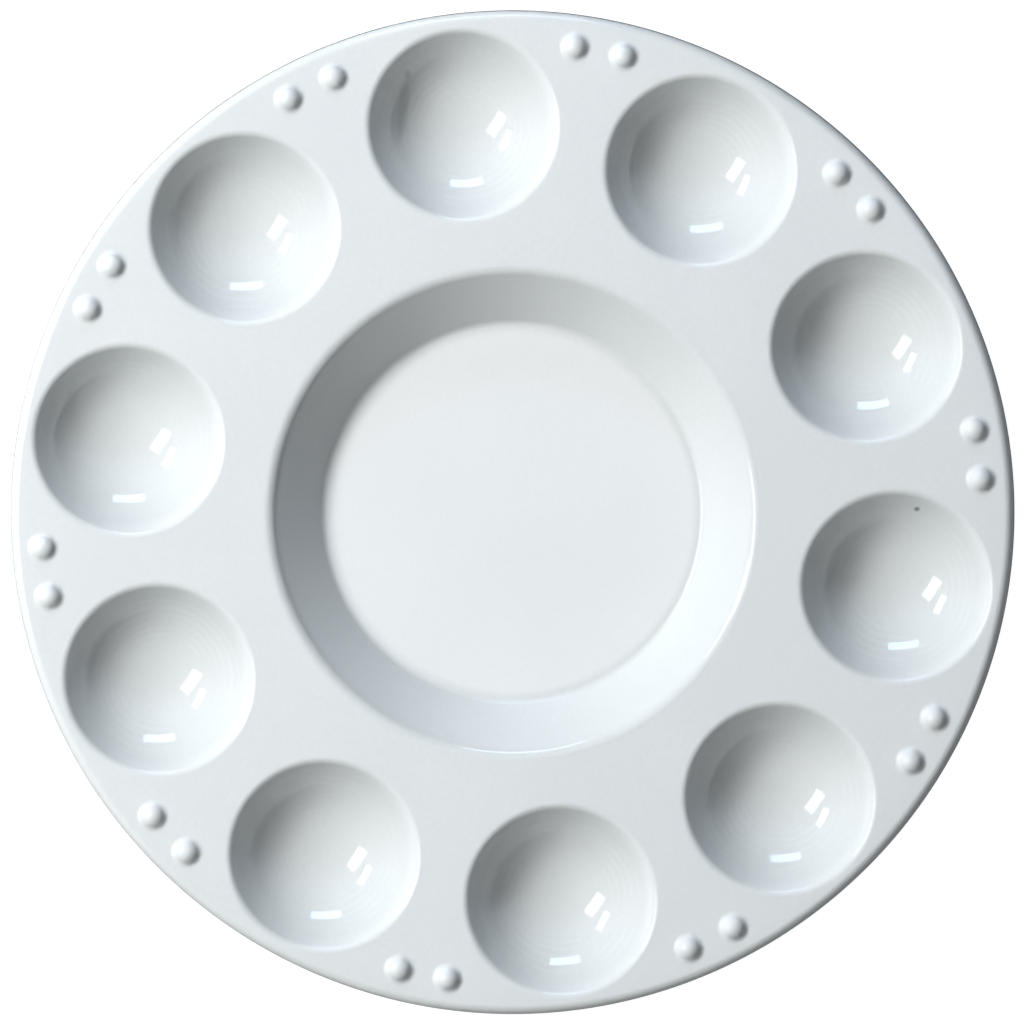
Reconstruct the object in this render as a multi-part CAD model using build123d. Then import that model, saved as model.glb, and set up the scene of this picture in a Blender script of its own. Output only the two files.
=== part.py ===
from build123d import *
import os
from math import atan2, cos, degrees, radians, sin, sqrt, tan

# Round plastic mixing palette: a thin moulded disc with ten bowl-shaped paint wells in a ring
# round one wide, flat-floored mixing pan, and a pair of small raised pips between each two wells.
#
# Frame: millimetres, +Z up. The origin is the middle of the underside, where the palette rests.
# Well 01 lies on +Y, and the rest follow anticlockwise as seen from above.
#
# The whole palette is one moulding. Its regions are separate solids that meet face to face where
# the surface is flat or runs on smoothly, so no step or line shows between them.

# Driving dimensions
PALETTE_DIAMETER = 170.0
WALL = 1.2
BOWL_DEPTH = 9.0            # deck face down to the pan floor and to the bottom of each well

EDGE_RADIUS = 1.7           # rounding where the deck turns down into the skirt
SKIRT_DRAFT = 4.0           # degrees that the skirt flares out on its way down
SKIRT_DROP = 4.5            # deck face down to the skirt's foot
FOOT_RADIUS = 0.35          # rounding of the skirt's foot

PAN_MOUTH_RADIUS = 40.8     # where the deck and the pan wall would meet without a lip
PAN_WALL_SLOPE = 46.5       # degrees up from the floor
PAN_LIP_RADIUS = 2.5
PAN_FLOOR_FILLET = 1.6

WELL_COUNT = 10
WELL_CIRCLE_RADIUS = 66.0
WELL_MOUTH_RADIUS = 15.85   # where the deck and the bowl would meet without a lip
WELL_LIP_RADIUS = 1.5

PIP_CIRCLE_RADIUS = 79.4
PIP_SPACING = 8.35          # between the two pips of a pair
PIP_DOME_RADIUS = 2.15      # ball radius of a pip's top
PIP_HEIGHT = 1.45           # how far a pip stands above the deck
PIP_FOOT_RADIUS = 1.3       # hollow rounding between a pip and the deck

# Worked out from the driving dimensions
DECK_TOP = BOWL_DEPTH + WALL
DECK_UNDERSIDE = DECK_TOP - WALL
OUTER_RADIUS = PALETTE_DIAMETER / 2
SKIRT_FOOT = DECK_TOP - SKIRT_DROP
WELL_PITCH = 360 / WELL_COUNT
SEAM_MARGIN = 0.08          # land kept between a rounding and the seam beside it

# The edge rounding touches the deck face above it and the drafted face of the skirt below it
EDGE_CENTRE_HEIGHT = DECK_TOP - EDGE_RADIUS
SKIRT_FLARE = (EDGE_CENTRE_HEIGHT - SKIRT_FOOT) * tan(radians(SKIRT_DRAFT))
EDGE_CENTRE_RADIUS = OUTER_RADIUS - SKIRT_FLARE - EDGE_RADIUS / cos(radians(SKIRT_DRAFT))

# Sphere of a well's inner face, and the centre of the ring-shaped lip that rolls into it
BOWL_RADIUS = (WELL_MOUTH_RADIUS**2 + BOWL_DEPTH**2) / (2 * BOWL_DEPTH)
BOWL_CENTRE_HEIGHT = WALL + BOWL_RADIUS
LIP_CENTRE_HEIGHT = DECK_TOP - WELL_LIP_RADIUS
LIP_CENTRE_DROP = BOWL_CENTRE_HEIGHT - LIP_CENTRE_HEIGHT
LIP_CENTRE_RADIUS = sqrt((BOWL_RADIUS + WELL_LIP_RADIUS) ** 2 - LIP_CENTRE_DROP**2)
WELL_SEAM_RADIUS = LIP_CENTRE_RADIUS + SEAM_MARGIN

# A bend of the pan's wall moves its outer corner sideways by BEND_SHIFT
BEND_SHIFT = WALL * tan(radians(PAN_WALL_SLOPE / 2))
PAN_FLOOR_RADIUS = PAN_MOUTH_RADIUS - BOWL_DEPTH / tan(radians(PAN_WALL_SLOPE))
PAN_LIP_REACH = PAN_LIP_RADIUS * tan(radians(PAN_WALL_SLOPE / 2))
PAN_FILLET_REACH = PAN_FLOOR_FILLET * tan(radians(PAN_WALL_SLOPE / 2))
PAN_SEAM_RADIUS = PAN_MOUTH_RADIUS + PAN_LIP_REACH + SEAM_MARGIN
FLOOR_SEAM_RADIUS = PAN_FLOOR_RADIUS - PAN_FILLET_REACH - SEAM_MARGIN


def turned(*outline):
    """Solid made by turning a closed outline (x = radius, y = height) once round Z."""
    section = Plane.XZ * make_face(list(outline))
    return revolve(section, Axis.Z)


def closing_lines(upper, lower):
    """The two straight cuts that join an upper line to the lower line beneath it."""
    return [Line(lower @ 0, upper @ 0), Line(upper @ 1, lower @ 1)]


def at_azimuth(solid, radius, azimuth):
    """Move a solid from the Z axis out to a place on a circle round it."""
    return Rot(0, 0, azimuth) * Pos(radius, 0, 0) * solid


def on_skirt(inset, height):
    """Point on the skirt's outer face at a height, or inset under that face."""
    flare = (height - SKIRT_FOOT) * tan(radians(SKIRT_DRAFT))
    return (OUTER_RADIUS - flare - inset / cos(radians(SKIRT_DRAFT)), height)


def skirt_seam():
    """Outer and inner end of the cut between the rounded edge and the skirt."""
    outer_height = EDGE_CENTRE_HEIGHT + EDGE_RADIUS * sin(radians(SKIRT_DRAFT)) - SEAM_MARGIN
    inner_height = outer_height - WALL * sin(radians(SKIRT_DRAFT))
    return on_skirt(0, outer_height), on_skirt(WALL, inner_height)


def deck():
    """Flat web and rounded outer edge, with the mouths of the wells and the pan cut through."""
    upper = Line((PAN_SEAM_RADIUS, DECK_TOP), (EDGE_CENTRE_RADIUS, DECK_TOP))
    lower = Line((PAN_SEAM_RADIUS, DECK_UNDERSIDE), (EDGE_CENTRE_RADIUS, DECK_UNDERSIDE))
    edge_centre = (EDGE_CENTRE_RADIUS, EDGE_CENTRE_HEIGHT)
    upper_edge = CenterArc(edge_centre, EDGE_RADIUS, 90, SKIRT_DRAFT - 90)
    lower_edge = CenterArc(edge_centre, EDGE_RADIUS - WALL, 90, SKIRT_DRAFT - 90)
    outer_seam, inner_seam = skirt_seam()
    lands = [Line(upper_edge @ 1, outer_seam), Line(lower_edge @ 1, inner_seam)]
    cuts = [Line(lower @ 0, upper @ 0), Line(outer_seam, inner_seam)]
    web = turned(upper, upper_edge, lower, lower_edge, *lands, *cuts)
    mouth = Pos(0, 0, DECK_TOP) * Cylinder(WELL_SEAM_RADIUS, 4 * WALL)
    for azimuth in well_azimuths():
        web -= at_azimuth(mouth, WELL_CIRCLE_RADIUS, azimuth)
    return web


def skirt():
    """Short wall under the rounded edge, flaring a little and rounded at its foot."""
    outer_seam, inner_seam = skirt_seam()
    outer_foot = on_skirt(0, SKIRT_FOOT)
    inner_foot = on_skirt(WALL, SKIRT_FOOT)
    wall_line = FilletPolyline(outer_seam, outer_foot, inner_foot, inner_seam, radius=FOOT_RADIUS)
    return turned(wall_line, Line(inner_seam, outer_seam))


def pan_wall():
    """Sloping wall of the mixing pan, from its rounded lip to its rounded foot."""
    upper = FilletPolyline(
        (FLOOR_SEAM_RADIUS, WALL),
        (PAN_FLOOR_RADIUS, WALL),
        (PAN_MOUTH_RADIUS, DECK_TOP),
        (PAN_SEAM_RADIUS, DECK_TOP),
        radius=[PAN_FLOOR_FILLET, PAN_LIP_RADIUS],
    )
    lower = FilletPolyline(
        (FLOOR_SEAM_RADIUS, 0),
        (PAN_FLOOR_RADIUS + BEND_SHIFT, 0),
        (PAN_MOUTH_RADIUS + BEND_SHIFT, DECK_UNDERSIDE),
        (PAN_SEAM_RADIUS, DECK_UNDERSIDE),
        radius=[PAN_FLOOR_FILLET + WALL, PAN_LIP_RADIUS - WALL],
    )
    return turned(upper, lower, *closing_lines(upper, lower))


def pan_floor():
    """Flat floor of the mixing pan. Its underside is what the palette rests on."""
    return Cylinder(FLOOR_SEAM_RADIUS, WALL, align=(Align.CENTER, Align.CENTER, Align.MIN))


def paint_well():
    """One spherical bowl about the Z axis, rolling over a rounded lip into the deck."""
    bowl_centre = (0, BOWL_CENTRE_HEIGHT)
    bowl_sweep = degrees(atan2(LIP_CENTRE_RADIUS, LIP_CENTRE_DROP))
    upper_bowl = CenterArc(bowl_centre, BOWL_RADIUS, -90, bowl_sweep)
    lip_centre = (LIP_CENTRE_RADIUS, LIP_CENTRE_HEIGHT)
    lip = CenterArc(lip_centre, WELL_LIP_RADIUS, 90 + bowl_sweep, -bowl_sweep)
    upper_land = Line(lip @ 1, (WELL_SEAM_RADIUS, DECK_TOP))

    outer_radius = BOWL_RADIUS + WALL
    underside_drop = BOWL_CENTRE_HEIGHT - DECK_UNDERSIDE
    corner_radius = sqrt(outer_radius**2 - underside_drop**2)
    outer_sweep = degrees(atan2(corner_radius, underside_drop))
    lower_bowl = CenterArc(bowl_centre, outer_radius, -90, outer_sweep)
    lower_land = Line(lower_bowl @ 1, (WELL_SEAM_RADIUS, DECK_UNDERSIDE))

    cuts = [Line(lower_bowl @ 0, upper_bowl @ 0), Line(upper_land @ 1, lower_land @ 1)]
    return turned(upper_bowl, lip, upper_land, lower_bowl, lower_land, *cuts)


def pip():
    """One small dome about the Z axis, standing on the deck with a hollow-rounded foot."""
    dome_centre_height = DECK_TOP + PIP_HEIGHT - PIP_DOME_RADIUS
    foot_centre_height = DECK_TOP + PIP_FOOT_RADIUS
    reach = PIP_DOME_RADIUS + PIP_FOOT_RADIUS
    rise = foot_centre_height - dome_centre_height
    foot_centre_radius = sqrt(reach**2 - rise**2)
    dome_end = degrees(atan2(rise, foot_centre_radius))
    dome = CenterArc((0, dome_centre_height), PIP_DOME_RADIUS, 90, dome_end - 90)
    foot_sweep = 90 - dome_end
    foot = CenterArc((foot_centre_radius, foot_centre_height), PIP_FOOT_RADIUS, 180 + dome_end, foot_sweep)
    axis_line = Line((0, DECK_TOP), dome @ 0)
    base = Line(foot @ 1, (0, DECK_TOP))
    return turned(axis_line, dome, foot, base)


def well_azimuths():
    """Azimuth of each well, starting on +Y."""
    return [90 + WELL_PITCH * index for index in range(WELL_COUNT)]


def pip_pair(azimuth):
    """Two pips side by side, midway between two wells."""
    half_angle = degrees(atan2(PIP_SPACING / 2, PIP_CIRCLE_RADIUS))
    pips = [at_azimuth(pip(), PIP_CIRCLE_RADIUS, azimuth + side * half_angle) for side in (-1, 1)]
    return Compound(children=pips)


parts = {
    "deck": deck(),
    "skirt": skirt(),
    "pan_wall": pan_wall(),
    "pan_floor": pan_floor(),
}
for number, azimuth in enumerate(well_azimuths(), start=1):
    parts[f"paint_well_{number:02d}"] = at_azimuth(paint_well(), WELL_CIRCLE_RADIUS, azimuth)
    parts[f"pip_pair_{number:02d}"] = pip_pair(azimuth + WELL_PITCH / 2)

os.makedirs("parts", exist_ok=True)
for name, shape in parts.items():
    export_step(shape, f"parts/{name}.step")
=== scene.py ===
"""Looks of the round plastic mixing palette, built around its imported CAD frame.

Metres, +Z up, origin in the middle of the palette's underside. Every visible piece is a closed
turned or cut mesh on its CAD node's dimensions, in glossy white moulded polystyrene.
"""

import math

import bpy
import numpy as np
from mathutils import Matrix, Vector
from mathutils.geometry import delaunay_2d_cdt


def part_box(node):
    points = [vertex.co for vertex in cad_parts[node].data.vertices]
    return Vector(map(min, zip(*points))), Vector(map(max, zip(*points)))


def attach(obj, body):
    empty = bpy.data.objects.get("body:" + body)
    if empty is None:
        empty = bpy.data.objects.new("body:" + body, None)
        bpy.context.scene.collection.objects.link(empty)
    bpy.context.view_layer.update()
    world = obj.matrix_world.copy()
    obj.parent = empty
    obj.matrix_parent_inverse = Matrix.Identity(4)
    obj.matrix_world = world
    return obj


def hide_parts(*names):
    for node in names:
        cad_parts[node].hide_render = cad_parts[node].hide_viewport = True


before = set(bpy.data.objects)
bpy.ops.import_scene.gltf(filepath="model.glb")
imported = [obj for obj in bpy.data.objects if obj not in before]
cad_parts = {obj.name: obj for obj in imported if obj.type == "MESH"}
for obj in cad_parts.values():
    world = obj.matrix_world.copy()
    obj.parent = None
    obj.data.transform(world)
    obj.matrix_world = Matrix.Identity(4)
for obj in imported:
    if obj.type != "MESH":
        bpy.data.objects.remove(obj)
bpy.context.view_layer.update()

MM = 0.001

# ---------------------------------------------------------------- dimensions (metres)
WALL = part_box("pan_floor")[1].z
DECK_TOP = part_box("deck")[1].z
SKIRT_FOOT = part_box("skirt")[0].z
OUTER_RADIUS = 85.0 * MM

EDGE_RADIUS = 1.7 * MM
SKIRT_DRAFT = math.radians(4.0)
FOOT_RADIUS = 0.35 * MM

PAN_MOUTH_RADIUS = 40.8 * MM
PAN_WALL_SLOPE = math.radians(46.5)
PAN_LIP_RADIUS = 2.5 * MM
PAN_FLOOR_FILLET = 1.6 * MM

WELL_COUNT = 10
WELL_CIRCLE_RADIUS = 66.0 * MM
WELL_MOUTH_RADIUS = 15.85 * MM
WELL_LIP_RADIUS = 1.5 * MM

PIP_CIRCLE_RADIUS = 79.4 * MM
PIP_SPACING = 8.35 * MM
PIP_DOME_RADIUS = 2.15 * MM
PIP_HEIGHT = 1.45 * MM
PIP_FOOT_RADIUS = 1.3 * MM

SEAM_MARGIN = 0.08 * MM

# Worked out from the dimensions above. The wells' and the pan's floors are one wall thick, and
# stand on the table, so they lie as far below the deck as its own underside is above the table.
DECK_UNDERSIDE = DECK_TOP - WALL
BOWL_DEPTH = DECK_TOP - WALL
BOWL_RADIUS = (WELL_MOUTH_RADIUS**2 + BOWL_DEPTH**2) / (2 * BOWL_DEPTH)
BOWL_CENTRE_HEIGHT = WALL + BOWL_RADIUS
LIP_CENTRE_HEIGHT = DECK_TOP - WELL_LIP_RADIUS
LIP_CENTRE_DROP = BOWL_CENTRE_HEIGHT - LIP_CENTRE_HEIGHT
LIP_CENTRE_RADIUS = math.sqrt((BOWL_RADIUS + WELL_LIP_RADIUS) ** 2 - LIP_CENTRE_DROP**2)
WELL_SEAM_RADIUS = LIP_CENTRE_RADIUS + SEAM_MARGIN

HALF_BEND = math.tan(PAN_WALL_SLOPE / 2)
PAN_FLOOR_RADIUS = PAN_MOUTH_RADIUS - BOWL_DEPTH / math.tan(PAN_WALL_SLOPE)
PAN_SEAM_RADIUS = PAN_MOUTH_RADIUS + PAN_LIP_RADIUS * HALF_BEND + SEAM_MARGIN
FLOOR_SEAM_RADIUS = PAN_FLOOR_RADIUS - PAN_FLOOR_FILLET * HALF_BEND - SEAM_MARGIN

EDGE_CENTRE_HEIGHT = DECK_TOP - EDGE_RADIUS
EDGE_CENTRE_RADIUS = (
    OUTER_RADIUS
    - (EDGE_CENTRE_HEIGHT - SKIRT_FOOT) * math.tan(SKIRT_DRAFT)
    - EDGE_RADIUS / math.cos(SKIRT_DRAFT)
)

# Surface: colours, how much painted shade darkens the wells and the pan, and how much painted light
# lifts the pan's floor
WHITE = (0.655, 0.684, 0.686, 1)
SHADE = (0.629, 0.659, 0.662, 1)
SPECK = (0.16, 0.15, 0.14, 1)
DARK_MARK = (0.30, 0.33, 0.33, 1)
GRIT = (0.10, 0.09, 0.09, 1)
BLACK = (0, 0, 0, 1)
FULL_WHITE = (1, 1, 1, 1)
WELL_PAINTED_SHADE = 0.12
PAN_WALL_PAINTED_SHADE = 0.06
PAN_FLOOR_PAINTED_LIGHT = 0.21
PLASTIC_IOR = 1.55
ROUGHNESS = (0.02, 0.04)

# Where each region's painted shade or painted light fades away, as distances from the well's or the
# palette's axis
WELL_PAINTED_SHADE_FADE = (13.5 * MM, 16.5 * MM)
PAN_WALL_PAINTED_SHADE_FADE = (40 * MM, 42.5 * MM)
PAN_FLOOR_PAINTED_LIGHT_FADE = (30 * MM, 32 * MM)

# Each noise: its features per metre and its detail
CLOUD_NOISE = (38.0, 4.0)
GRAIN_NOISE = (1500.0, 3.0)
WOBBLE_NOISE = (70.0, 2.0)
PATCH_NOISE = (90.0, 3.0)
GLOSS_NOISE = (120.0, 3.0)
WAVE_NOISE = (110.0, 2.0)
SKIN_NOISE = (2600.0, 3.0)

# How much of the shade a noise brings in, and the noise values from which it starts and is whole
CLOUD_SHARE = 0.7
CLOUD_RANGE = (0.3, 0.7)
GRAIN_SHARE = 0.6
GRAIN_RANGE = (0.35, 0.7)
GLOSS_RANGE = (0.3, 0.7)

# Faint rings in the wells, such as the cutter of a mould leaves
RING_SPACING = 1.15 * MM
RING_WOBBLE = 1.6 * MM
RINGS_FADE_IN = (2 * MM, 9 * MM)
RINGS_FADE_OUT = (12.5 * MM, 15.0 * MM)
RING_PATCH_RANGE = (0.42, 0.62)
RING_SHADE = 0.3

# Specks: cells per metre, the share of cells with one, its strength, and its soft edge in cells
SPECK_CELLS = 75.0
SPECK_SHARE = 0.07
SPECK_STRENGTH = 0.8
SPECK_EDGE = (0.008, 0.022)

# Relief: the height of one unit, and how many units each part has
RELIEF_UNIT = 0.01 * MM
WAVE_RELIEF = 2.2
SKIN_RELIEF = 0.16
RING_RELIEF = 0.10

# The share of a mark's half size, from its middle, before it starts to fade
MARK_CORE = 0.3

# Each mark: its middle, its turn about Z, its half sizes, its strength and its colour
MARKS = (
    # Two dark marks on the left wall of the first well, then a dark fleck on the deck
    ((-9.8 * MM, 70.1 * MM, 5 * MM), math.radians(-14), (1.3 * MM, 7.4 * MM, 12 * MM), 0.36, DARK_MARK),
    ((-8.2 * MM, 75.8 * MM, 7 * MM), 0, (0.8 * MM, 1.1 * MM, 5 * MM), 0.4, DARK_MARK),
    ((68.0 * MM, -7.9 * MM, 7 * MM), 0, (0.7 * MM, 0.55 * MM, 5 * MM), 0.75, GRIT),
)

# Studio (metres, degrees). The floor lies just under the palette, so that they share no plane.
STAGE_REACH = 6.0
SURROUND_FOOT = -0.5
SURROUND_FACETS = 64
FLOOR_COLOUR = 0.14
FLOOR_GLOW = 0.96
FLOOR_GAP = 0.05 * MM
BOUNCE_GLOW = 0.7
BOUNCE_DROP = 1 * MM
SURROUND_GLOW = 0.98
WORLD_GLOW = 0.02
WINDOW_DISTANCE = 1.8
SOFT_DISTANCE = 1.0
DAYLIGHT = (1, 1, 1)
SKYLIGHT = (0.5, 0.7, 1)

# Each light: its name, azimuth and elevation in the picture, distance, size, power (watts),
# colour and turn about its own middle. The palette's gloss mirrors only the windows.
WINDOWS = (
    ("pane_large", 178, 53, WINDOW_DISTANCE, (0.36, 0.78), 5.6, DAYLIGHT, 56),
    ("pane_small", 158.5, 40, WINDOW_DISTANCE, (0.22, 0.60), 4.4, DAYLIGHT, 86),
    ("low_window", 95, 25, WINDOW_DISTANCE, (0.9, 0.30), 7.4, SKYLIGHT, 0),
)
FILL_LIGHTS = (
    ("soft_left", 176, 41, SOFT_DISTANCE, (0.42, 0.16), 4.6, DAYLIGHT, 0),
    ("soft_upper_left", 141, 41, SOFT_DISTANCE, (0.42, 0.16), 6.7, DAYLIGHT, 0),
    ("overhead", 0, 90, WINDOW_DISTANCE, (1.26, 1.26), 4.5, DAYLIGHT, 0),
    ("low_fill", 255, 36, WINDOW_DISTANCE, (0.8, 0.8), 2.8, DAYLIGHT, 0),
)

# Camera (metres, degrees, but the sensor in millimetres). The picture is square, and the shift
# is in its pixels.
CAMERA_ROLL = 7.2
CAMERA_HEIGHT = 1.5
CAMERA_TILT = 1.8
CAMERA_TILT_AZIMUTH = 45
SENSOR_WIDTH = 36
PICTURE_PIXELS = 1024
VIEW_SHIFT = (0.5, 1.3)
FRAME_WIDTH = 172.87 * MM

# Facets round each circle
WELL_FACETS = 144
PAN_FACETS = 240
EDGE_FACETS = 360
PIP_FACETS = 48

# Steps along each section, and the spacing of the points inside the flat faces
BOWL_STEPS = 44
BOWL_UNDERSIDE_STEPS = 30
WELL_LIP_STEPS = 14
PAN_BEND_STEPS = 12
PAN_UNDER_LIP_STEPS = 6
PAN_SLOPE_STEPS = 10
PAN_FLOOR_RINGS = 16
EDGE_STEPS = 16
UNDER_EDGE_STEPS = 8
SKIRT_STEPS = 4
SKIRT_FOOT_STEPS = 6
PIP_DOME_STEPS = 14
PIP_FOOT_STEPS = 8
DECK_GRID = 2.4 * MM
DECK_GRID_MARGIN = DECK_GRID / 3

# Faces that turn by more than this (degrees) meet in a crisp edge
CRISP_ANGLE = 25

# A distance under this (metres) counts as none
TINY = 1e-9


# ---------------------------------------------------------------- mesh helpers
def arc(centre, radius, start, end, steps):
    """Points on an arc in the section plane (radius, height), angles in degrees, both ends in."""
    angles = np.radians(np.linspace(start, end, steps + 1))
    return [(centre[0] + radius * math.cos(a), centre[1] + radius * math.sin(a)) for a in angles]


def straight(start, end, steps):
    """Points from start towards end, without either end."""
    return [
        tuple(np.array(start) + (np.array(end) - np.array(start)) * i / steps)
        for i in range(1, steps)
    ]


def around(centre, radius, facets):
    """x and y of points spaced evenly round a circle, anticlockwise from its +X side."""
    turns = [2 * math.pi * k / facets for k in range(facets)]
    return [(centre[0] + radius * math.cos(t), centre[1] + radius * math.sin(t)) for t in turns]


def circle(centre, radius, facets):
    """The same points as vectors."""
    return [centre + Vector(point) for point in around((0, 0), radius, facets)]


def new_piece(name, vertices, faces):
    """A smooth-shaded piece in the scene, with crisp edges where its faces turn sharply."""
    mesh = bpy.data.meshes.new(name)
    mesh.from_pydata([tuple(v) for v in vertices], [], faces)
    mesh.validate()
    mesh.polygons.foreach_set("use_smooth", [True] * len(mesh.polygons))
    mesh.set_sharp_from_angle(angle=math.radians(CRISP_ANGLE))
    piece = bpy.data.objects.new(name, mesh)
    bpy.context.scene.collection.objects.link(piece)
    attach(piece, "root")
    return piece


def turned(section, facets, centre=(0, 0), start_index=0):
    """Vertices and faces of a closed section turned round the vertical line through centre.

    section runs anticlockwise in (radius, height). Points on the axis become one vertex each.
    """
    vertices, rings = [], []
    for radius, height in section:
        first = start_index + len(vertices)
        if radius < TINY:
            vertices.append((centre[0], centre[1], height))
            rings.append([first] * facets)
            continue
        vertices += [(x, y, height) for x, y in around(centre, radius, facets)]
        rings.append(list(range(first, first + facets)))
    faces = []
    for ring, following in zip(rings, rings[1:] + rings[:1]):
        if ring[0] == ring[1] and following[0] == following[1]:
            continue
        for k in range(facets):
            after = (k + 1) % facets
            corners = (ring[k], ring[after], following[after], following[k])
            faces.append(tuple(dict.fromkeys(corners)))
    return vertices, faces


def azimuth_point(radius, degrees):
    """The place at an azimuth on a circle round the palette's axis."""
    turn = math.radians(degrees)
    return Vector((radius * math.cos(turn), radius * math.sin(turn)))


def well_azimuths():
    """The wells' azimuths in degrees, from the first well on +Y and anticlockwise."""
    return [90 + 360 / WELL_COUNT * index for index in range(WELL_COUNT)]


# ---------------------------------------------------------------- pieces
def well_section():
    """Closed section of a bowl: inner face out to the seam, then back under it."""
    sweep = math.degrees(math.atan2(LIP_CENTRE_RADIUS, LIP_CENTRE_DROP))
    inner = arc((0, BOWL_CENTRE_HEIGHT), BOWL_RADIUS, -90, -90 + sweep, BOWL_STEPS)
    lip = arc((LIP_CENTRE_RADIUS, LIP_CENTRE_HEIGHT), WELL_LIP_RADIUS, 90 + sweep, 90, WELL_LIP_STEPS)
    outer_radius = BOWL_RADIUS + WALL
    drop = BOWL_CENTRE_HEIGHT - DECK_UNDERSIDE
    outer_sweep = math.degrees(math.acos(drop / outer_radius))
    outer_start = -90 + outer_sweep
    outer = arc((0, BOWL_CENTRE_HEIGHT), outer_radius, outer_start, -90, BOWL_UNDERSIDE_STEPS)
    upper = inner + lip[1:] + [(WELL_SEAM_RADIUS, DECK_TOP)]
    lower = [(WELL_SEAM_RADIUS, DECK_UNDERSIDE)] + outer
    upper[0] = (0, WALL)
    lower[-1] = (0, 0)
    return (upper + lower)[::-1]


def build_well(number, azimuth):
    """One paint well: a bowl with a rounded lip."""
    node = f"paint_well_{number:02d}"
    centre = azimuth_point(WELL_CIRCLE_RADIUS, azimuth)
    vertices, faces = turned(well_section(), WELL_FACETS, centre)
    piece = new_piece(f"{node}_skin", vertices, faces)
    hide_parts(node)
    return piece


def pan_wall_section():
    """Closed section of the pan's wall with its rounded lip and foot."""
    slope = math.degrees(PAN_WALL_SLOPE)
    lip_reach = PAN_LIP_RADIUS * HALF_BEND
    foot_reach = PAN_FLOOR_FILLET * HALF_BEND
    foot_centre = (PAN_FLOOR_RADIUS - foot_reach, WALL + PAN_FLOOR_FILLET)
    lip_centre = (PAN_MOUTH_RADIUS + lip_reach, DECK_TOP - PAN_LIP_RADIUS)
    foot = arc(foot_centre, PAN_FLOOR_FILLET, -90, -90 + slope, PAN_BEND_STEPS)
    lip = arc(lip_centre, PAN_LIP_RADIUS, 90 + slope, 90, PAN_BEND_STEPS)
    upper = [(FLOOR_SEAM_RADIUS, WALL)] + foot + straight(foot[-1], lip[0], PAN_SLOPE_STEPS) + lip
    upper.append((PAN_SEAM_RADIUS, DECK_TOP))
    under_foot = arc(foot_centre, PAN_FLOOR_FILLET + WALL, -90, -90 + slope, PAN_BEND_STEPS)
    under_lip = arc(lip_centre, PAN_LIP_RADIUS - WALL, 90 + slope, 90, PAN_UNDER_LIP_STEPS)
    under_slope = straight(under_foot[-1], under_lip[0], PAN_SLOPE_STEPS)
    lower = [(FLOOR_SEAM_RADIUS, 0)] + under_foot + under_slope + under_lip
    lower.append((PAN_SEAM_RADIUS, DECK_UNDERSIDE))
    return lower + upper[::-1]


def build_pan_wall():
    """The sloping wall of the mixing pan."""
    vertices, faces = turned(pan_wall_section(), PAN_FACETS)
    piece = new_piece("pan_wall_skin", vertices, faces)
    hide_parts("pan_wall")
    return piece


def build_pan_floor():
    """Flat disc, with rings of faces so that its shading stays even."""
    rings = [FLOOR_SEAM_RADIUS * k / PAN_FLOOR_RINGS for k in range(PAN_FLOOR_RINGS + 1)]
    section = [(r, 0) for r in rings] + [(r, WALL) for r in rings[::-1]]
    vertices, faces = turned(section, PAN_FACETS)
    piece = new_piece("pan_floor_skin", vertices, faces)
    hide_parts("pan_floor")
    return piece


def deck_outlines():
    """The flat face's boundaries: its outer circle, the pan's mouth and the wells' mouths."""
    origin = Vector((0, 0))
    loops = [circle(origin, EDGE_CENTRE_RADIUS, EDGE_FACETS)]
    loops.append(circle(origin, PAN_SEAM_RADIUS, PAN_FACETS))
    for azimuth in well_azimuths():
        centre = azimuth_point(WELL_CIRCLE_RADIUS, azimuth)
        loops.append(circle(centre, WELL_SEAM_RADIUS, WELL_FACETS))
    return loops


def on_deck(point, margin):
    """True where a point lies on the flat of the deck, at least margin inside its boundaries."""
    radius = point.length
    if radius > EDGE_CENTRE_RADIUS - margin or radius < PAN_SEAM_RADIUS + margin:
        return False
    return all(
        (point - azimuth_point(WELL_CIRCLE_RADIUS, azimuth)).length > WELL_SEAM_RADIUS + margin
        for azimuth in well_azimuths()
    )


def deck_face():
    """Triangles of the flat: boundary points, plus a staggered grid of points between them."""
    points, edges, loops = [], [], []
    for loop in deck_outlines():
        first = len(points)
        points += loop
        indices = list(range(first, len(points)))
        edges += list(zip(indices, indices[1:] + indices[:1]))
        loops.append(indices)
    rows = int(2 * OUTER_RADIUS / DECK_GRID)
    for row in range(rows):
        for column in range(rows):
            stagger = 0.5 * (row % 2)
            x = -OUTER_RADIUS + (column + stagger) * DECK_GRID
            y = -OUTER_RADIUS + row * DECK_GRID
            if on_deck(Vector((x, y)), DECK_GRID_MARGIN):
                points.append(Vector((x, y)))
    found = delaunay_2d_cdt(points, edges, [], 0, TINY)
    corners, triangles = found[0], found[2]
    renumber = {old: new for new, olds in enumerate(found[3]) for old in olds}
    loops = [[renumber[i] for i in loop] for loop in loops]
    holes = [set(loop) for loop in loops[1:]]
    kept = [tuple(t) for t in triangles if not any(hole.issuperset(t) for hole in holes)]
    return corners, kept, loops


def rolled_edge():
    """Section of the rounded outer edge: over it to the skirt's seam, then back inside it."""
    end = math.degrees(SKIRT_DRAFT)
    centre = (EDGE_CENTRE_RADIUS, EDGE_CENTRE_HEIGHT)
    over = arc(centre, EDGE_RADIUS, 90, end, EDGE_STEPS)
    under = arc(centre, EDGE_RADIUS - WALL, 90, end, UNDER_EDGE_STEPS)
    land = Vector((math.sin(SKIRT_DRAFT), -math.cos(SKIRT_DRAFT))) * SEAM_MARGIN
    over.append((over[-1][0] + land.x, over[-1][1] + land.y))
    under.append((under[-1][0] + land.x, under[-1][1] + land.y))
    return over[1:] + under[:0:-1]


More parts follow.
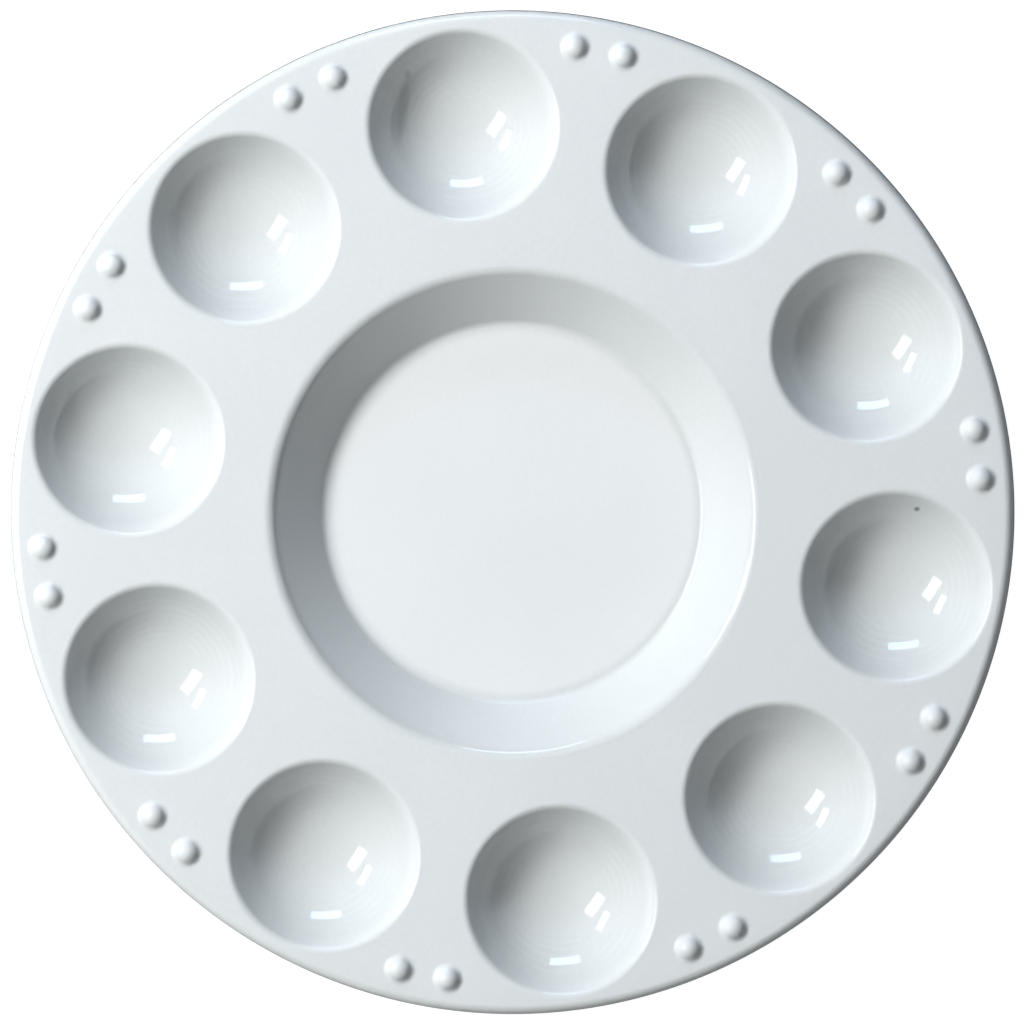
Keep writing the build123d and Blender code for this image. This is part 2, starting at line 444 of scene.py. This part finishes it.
def build_deck():
    """Flat web with the mouths cut through, and the rounded outer edge rolled off its rim."""
    corners, triangles, loops = deck_face()
    count = len(corners)
    vertices = [(c.x, c.y, height) for height in (DECK_TOP, DECK_UNDERSIDE) for c in corners]
    faces = list(triangles) + [tuple(i + count for i in t[::-1]) for t in triangles]
    for loop in loops[1:]:
        for here, after in zip(loop, loop[1:] + loop[:1]):
            faces.append((here, after, after + count, here + count))
    rings = [loops[0]]
    for radius, height in rolled_edge():
        first = len(vertices)
        vertices += [(x, y, height) for x, y in around((0, 0), radius, EDGE_FACETS)]
        rings.append(list(range(first, len(vertices))))
    rings.append([i + count for i in loops[0]])
    for ring, following in zip(rings, rings[1:]):
        for k in range(EDGE_FACETS):
            after = (k + 1) % EDGE_FACETS
            faces.append((ring[k], following[k], following[after], ring[after]))
    piece = new_piece("deck_skin", vertices, faces)
    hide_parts("deck")
    return piece


def build_skirt():
    """Short flared wall hanging under the rounded edge.

    Its foot is square to the flared wall, where the CAD's is level. So the foot's inner edge hangs
    0.06 mm lower than the CAD's.
    """
    down = Vector((math.sin(SKIRT_DRAFT), -math.cos(SKIRT_DRAFT)))
    out = Vector((math.cos(SKIRT_DRAFT), math.sin(SKIRT_DRAFT)))
    edge = Vector((EDGE_CENTRE_RADIUS, EDGE_CENTRE_HEIGHT))
    outer_top = edge + out * EDGE_RADIUS + down * SEAM_MARGIN
    inner_top = outer_top - out * WALL
    drop = (outer_top.y - SKIRT_FOOT) / math.cos(SKIRT_DRAFT)
    outer_foot = outer_top + down * (drop - FOOT_RADIUS)
    inner_foot = inner_top + down * (drop - FOOT_RADIUS)
    outer_round = arc(outer_foot - out * FOOT_RADIUS, FOOT_RADIUS, 0, -90, SKIRT_FOOT_STEPS)
    inner_round = arc(inner_foot + out * FOOT_RADIUS, FOOT_RADIUS, -90, -180, SKIRT_FOOT_STEPS)
    section = [tuple(outer_top)] + straight(outer_top, outer_round[0], SKIRT_STEPS) + outer_round
    section += inner_round + straight(inner_round[-1], inner_top, SKIRT_STEPS) + [tuple(inner_top)]
    vertices, faces = turned(section[::-1], EDGE_FACETS)
    piece = new_piece("skirt_skin", vertices, faces)
    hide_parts("skirt")
    return piece


def pip_section():
    """Closed section of a pip: its dome, then the hollow rounding that meets the deck."""
    dome_height = DECK_TOP + PIP_HEIGHT - PIP_DOME_RADIUS
    foot_height = DECK_TOP + PIP_FOOT_RADIUS
    rise = foot_height - dome_height
    foot_radius = math.sqrt((PIP_DOME_RADIUS + PIP_FOOT_RADIUS) ** 2 - rise**2)
    end = math.degrees(math.atan2(rise, foot_radius))
    dome = arc((0, dome_height), PIP_DOME_RADIUS, 90, end, PIP_DOME_STEPS)
    foot = arc((foot_radius, foot_height), PIP_FOOT_RADIUS, 180 + end, 270, PIP_FOOT_STEPS)
    dome[0] = (0, DECK_TOP + PIP_HEIGHT)
    return [(0, DECK_TOP)] + dome + foot[1:]


def build_pips(number, azimuth):
    """A pair of pips, side by side near the palette's edge."""
    node = f"pip_pair_{number:02d}"
    half_angle = math.degrees(math.atan2(PIP_SPACING / 2, PIP_CIRCLE_RADIUS))
    vertices, faces = [], []
    for side in (-1, 1):
        centre = azimuth_point(PIP_CIRCLE_RADIUS, azimuth + side * half_angle)
        more, more_faces = turned(pip_section()[::-1], PIP_FACETS, centre, len(vertices))
        vertices += more
        faces += more_faces
    piece = new_piece(f"{node}_skin", vertices, faces)
    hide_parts(node)
    return piece


# ---------------------------------------------------------------- material
class Graph:
    """Short way to add and join the nodes of one material."""

    def __init__(self, name):
        self.material = bpy.data.materials.new(name)
        self.material.use_nodes = True
        self.tree = self.material.node_tree
        self.shader = self.tree.nodes["Principled BSDF"]

    def node(self, kind, inputs=None, **settings):
        made = self.tree.nodes.new(kind)
        for key, value in settings.items():
            setattr(made, key, value)
        for key, value in (inputs or {}).items():
            if isinstance(value, bpy.types.NodeSocket):
                self.tree.links.new(value, made.inputs[key])
            else:
                made.inputs[key].default_value = value
        return made

    def math(self, operation, *values):
        return self.node("ShaderNodeMath", dict(enumerate(values)), operation=operation).outputs[0]

    def noise(self, place, scale, detail):
        settings = {"Vector": place, "Scale": scale, "Detail": detail}
        return self.node("ShaderNodeTexNoise", settings).outputs["Fac"]

    def spread(self, value, low, high, start=0.0, end=1.0):
        """value mapped from start..end onto low..high, smoothly and clamped."""
        settings = {"Value": value, "From Min": start, "From Max": end, "To Min": low, "To Max": high}
        made = self.node("ShaderNodeMapRange", settings, interpolation_type="SMOOTHSTEP")
        return made.outputs["Result"]

    def mix(self, factor, first, second):
        settings = {0: factor, 6: first, 7: second}
        return self.node("ShaderNodeMix", settings, data_type="RGBA").outputs[2]

    def length(self, vector):
        return self.node("ShaderNodeVectorMath", {0: vector}, operation="LENGTH").outputs["Value"]

    def join(self, socket, target):
        self.tree.links.new(socket, self.shader.inputs[target])


def distance_to_axis(graph, place):
    """Distance from the palette's own axis, in metres."""
    flat = graph.node("ShaderNodeVectorMath", {0: place, 1: (1, 1, 0)}, operation="MULTIPLY")
    return graph.length(flat.outputs[0])


def distance_to_well(graph, place):
    """Distance from the axis of the nearest well, in metres."""
    parts = graph.node("ShaderNodeSeparateXYZ", {0: place}).outputs
    radius = distance_to_axis(graph, place)
    pitch = 2 * math.pi / WELL_COUNT
    azimuth = graph.math("SUBTRACT", graph.math("ARCTAN2", parts[1], parts[0]), math.pi / 2)
    folded = graph.math("WRAP", azimuth, pitch / 2, -pitch / 2)
    along = graph.math("MULTIPLY", radius, graph.math("COSINE", folded))
    across = graph.math("MULTIPLY", radius, graph.math("SINE", folded))
    out = graph.math("POWER", graph.math("SUBTRACT", along, WELL_CIRCLE_RADIUS), 2.0)
    return graph.math("SQRT", graph.math("ADD", out, graph.math("POWER", across, 2.0)))


def mark(graph, place, centre, turn, size, depth):
    """A soft-edged dark mark: depth in the middle of an ellipsoid, nothing outside it."""
    local = graph.node("ShaderNodeMapping", {"Vector": place}, vector_type="TEXTURE")
    local.inputs["Location"].default_value = centre
    local.inputs["Rotation"].default_value = (0, 0, turn)
    local.inputs["Scale"].default_value = size
    return graph.spread(graph.length(local.outputs[0]), depth, 0.0, MARK_CORE, 1.0)


def cloudy_white(graph, place):
    """White with broad clouds and a fine grain, both towards a slightly darker shade."""
    cloud = graph.spread(graph.noise(place, *CLOUD_NOISE), 0.0, CLOUD_SHARE, *CLOUD_RANGE)
    grain = graph.spread(graph.noise(place, *GRAIN_NOISE), 0.0, GRAIN_SHARE, *GRAIN_RANGE)
    return graph.mix(graph.math("ADD", cloud, grain), WHITE, SHADE)


def hollow_painted_shade(graph, near_well, near_axis):
    """Painted shade: how much darker the wells and the pan are painted than the deck."""
    well = graph.spread(near_well, WELL_PAINTED_SHADE, 0.0, *WELL_PAINTED_SHADE_FADE)
    pan = graph.spread(near_axis, PAN_WALL_PAINTED_SHADE, 0.0, *PAN_WALL_PAINTED_SHADE_FADE)
    return graph.math("MAXIMUM", well, pan)


def cutter_rings(graph, place, near_well):
    """Faint, patchy rings round each well's axis, -1 to 1, gone at its middle and at its lip."""
    wobble = graph.math("MULTIPLY", graph.noise(place, *WOBBLE_NOISE), RING_WOBBLE)
    wobbly = graph.math("ADD", near_well, wobble)
    ring = graph.math("SINE", graph.math("MULTIPLY", wobbly, 2 * math.pi / RING_SPACING))
    in_well = graph.spread(near_well, 1.0, 0.0, *RINGS_FADE_OUT)
    patchy = graph.spread(graph.noise(place, *PATCH_NOISE), 0.0, 1.0, *RING_PATCH_RANGE)
    off_centre = graph.spread(near_well, 0.0, 1.0, *RINGS_FADE_IN)
    patchy = graph.math("MULTIPLY", patchy, off_centre)
    return graph.math("MULTIPLY", graph.math("MULTIPLY", ring, in_well), patchy)


def specks(graph, place):
    """Sparse small specks: the middles of a few cells picked at random."""
    cells = graph.node("ShaderNodeTexVoronoi", {"Vector": place, "Scale": SPECK_CELLS})
    chosen = graph.node("ShaderNodeSeparateColor", {0: cells.outputs["Color"]}).outputs[0]
    picked = graph.math("GREATER_THAN", chosen, 1 - SPECK_SHARE)
    dot = graph.spread(cells.outputs["Distance"], SPECK_STRENGTH, 0.0, *SPECK_EDGE)
    return graph.math("MULTIPLY", dot, picked)


def palette_plastic():
    """Glossy white moulded polystyrene: cloudy white, fine skin, faint cutter rings, stray specks,
    painted shade in the wells and the pan, painted light on the pan's floor.
    """
    graph = Graph("palette_plastic")
    place = graph.node("ShaderNodeTexCoord").outputs["Object"]
    near_well = distance_to_well(graph, place)
    near_axis = distance_to_axis(graph, place)
    rings = cutter_rings(graph, place, near_well)

    colour = cloudy_white(graph, place)
    # Painted shade: the wells and the pan are darkened towards black.
    colour = graph.mix(hollow_painted_shade(graph, near_well, near_axis), colour, BLACK)
    colour = graph.mix(graph.spread(rings, 0.0, RING_SHADE), colour, SHADE)
    colour = graph.mix(specks(graph, place), colour, SPECK)
    for centre, turn, size, depth, tint in MARKS:
        colour = graph.mix(mark(graph, place, centre, turn, size, depth), colour, tint)
    # Painted light: the pan's floor is lifted towards white, lighter than the deck.
    pan_floor = graph.spread(near_axis, PAN_FLOOR_PAINTED_LIGHT, 0.0, *PAN_FLOOR_PAINTED_LIGHT_FADE)
    colour = graph.mix(pan_floor, colour, FULL_WHITE)
    graph.join(colour, "Base Color")

    gloss = graph.noise(place, *GLOSS_NOISE)
    graph.join(graph.spread(gloss, *ROUGHNESS, *GLOSS_RANGE), "Roughness")
    graph.shader.inputs["IOR"].default_value = PLASTIC_IOR

    waves = graph.math("MULTIPLY", graph.noise(place, *WAVE_NOISE), WAVE_RELIEF)
    skin = graph.math("MULTIPLY", graph.noise(place, *SKIN_NOISE), SKIN_RELIEF)
    ridges = graph.math("MULTIPLY", rings, RING_RELIEF)
    height = graph.math("ADD", graph.math("ADD", waves, skin), ridges)
    bump = graph.node("ShaderNodeBump", {"Strength": 1.0, "Distance": RELIEF_UNIT, "Height": height})
    graph.join(bump.outputs[0], "Normal")
    return graph.material


# ---------------------------------------------------------------- floor, light, camera
def stage_piece(name, vertices, faces, colour, glow, seen=True):
    """Part of the studio, which the palette never mirrors.

    A seen one shows to the camera but doesn't light the palette. The others light it unseen.
    """
    mesh = bpy.data.meshes.new(name)
    mesh.from_pydata(vertices, [], faces)
    piece = bpy.data.objects.new(name, mesh)
    bpy.context.scene.collection.objects.link(piece)
    material = bpy.data.materials.new(name)
    material.use_nodes = True
    shader = material.node_tree.nodes["Principled BSDF"]
    shader.inputs["Base Color"].default_value = (colour, colour, colour, 1)
    shader.inputs["Roughness"].default_value = 1
    shader.inputs["Specular IOR Level"].default_value = 0
    shader.inputs["Emission Color"].default_value = FULL_WHITE
    shader.inputs["Emission Strength"].default_value = glow
    mesh.materials.append(material)
    piece.visible_camera = seen
    piece.visible_diffuse = not seen
    piece.visible_glossy = False
    return piece


def build_stage():
    """Pale floor, the light that comes back up from it, and a pale surround behind low views."""
    reach = STAGE_REACH
    square = ((-reach, -reach), (reach, -reach), (reach, reach), (-reach, reach))
    floor = [(x, y, -FLOOR_GAP) for x, y in square]
    sunk = [(x, y, -BOUNCE_DROP) for x, y in square]
    stage_piece("floor", floor, [(0, 1, 2, 3)], FLOOR_COLOUR, FLOOR_GLOW)
    stage_piece("bounce", sunk, [(0, 1, 2, 3)], 0, BOUNCE_GLOW, seen=False)
    foot = circle(Vector((0, 0)), STAGE_REACH, SURROUND_FACETS)
    vertices = [(p.x, p.y, height) for height in (SURROUND_FOOT, STAGE_REACH) for p in foot]
    faces = []
    for k in range(SURROUND_FACETS):
        after = (k + 1) % SURROUND_FACETS
        faces.append((k, k + SURROUND_FACETS, after + SURROUND_FACETS, after))
    faces.append(tuple(range(SURROUND_FACETS, 2 * SURROUND_FACETS)))
    surround = stage_piece("surround", vertices, faces, 0, SURROUND_GLOW)
    surround.visible_shadow = False


def in_picture(azimuth, elevation, distance):
    """A place at a distance from the palette, its azimuth counted from the picture's right."""
    turn = math.radians(azimuth - CAMERA_ROLL)
    rise = math.radians(elevation)
    across = distance * math.cos(rise)
    return Vector((across * math.cos(turn), across * math.sin(turn), distance * math.sin(rise)))


def build_camera():
    """Camera above the palette, rolled and a little tilted, looking at the middle of the deck."""
    camera = bpy.data.cameras.new("camera")
    holder = bpy.data.objects.new("camera", camera)
    distance = CAMERA_HEIGHT - DECK_TOP
    camera.sensor_width = SENSOR_WIDTH
    camera.lens = SENSOR_WIDTH * distance / FRAME_WIDTH
    camera.shift_x = VIEW_SHIFT[0] / PICTURE_PIXELS
    camera.shift_y = VIEW_SHIFT[1] / PICTURE_PIXELS
    away = in_picture(CAMERA_TILT_AZIMUTH, 90 - CAMERA_TILT, distance)
    picture_up = in_picture(90, 0, 1)
    back = away.normalized()
    right = picture_up.cross(back).normalized()
    up = back.cross(right)
    turn = Matrix((right, up, back)).transposed().to_4x4()
    holder.matrix_world = Matrix.Translation(away + Vector((0, 0, DECK_TOP))) @ turn
    bpy.context.scene.collection.objects.link(holder)
    bpy.context.scene.camera = holder


def area_light(name, azimuth, elevation, distance, size, power, colour, turn):
    """A rectangular light facing the palette."""
    light = bpy.data.lights.new(name, "AREA")
    light.shape = "RECTANGLE"
    light.size, light.size_y = size
    light.energy = power
    light.color = colour
    holder = bpy.data.objects.new(name, light)
    place = in_picture(azimuth, elevation, distance)
    facing = place.to_track_quat("Z", "Y").to_matrix().to_4x4()
    roll = Matrix.Rotation(math.radians(turn), 4, "Z")
    holder.matrix_world = Matrix.Translation(place) @ facing @ roll
    bpy.context.scene.collection.objects.link(holder)
    return holder


def light_palette():
    """Windows for the gloss to mirror, and soft light that it doesn't mirror."""
    for window in WINDOWS:
        area_light(*window)
    for fill in FILL_LIGHTS:
        area_light(*fill).visible_glossy = False


def light_world():
    """Almost dark surroundings, and the plain view transform."""
    world = bpy.data.worlds.new("studio")
    world.use_nodes = True
    background = world.node_tree.nodes["Background"]
    background.inputs["Color"].default_value = FULL_WHITE
    background.inputs["Strength"].default_value = WORLD_GLOW
    bpy.context.scene.world = world
    bpy.context.scene.view_settings.view_transform = "Standard"


plastic = palette_plastic()
pieces = [build_deck(), build_skirt(), build_pan_wall(), build_pan_floor()]
for number, azimuth in enumerate(well_azimuths(), start=1):
    pieces.append(build_well(number, azimuth))
    pieces.append(build_pips(number, azimuth + 180 / WELL_COUNT))
for piece in pieces:
    piece.data.materials.append(plastic)

build_stage()
build_camera()
light_palette()
light_world()
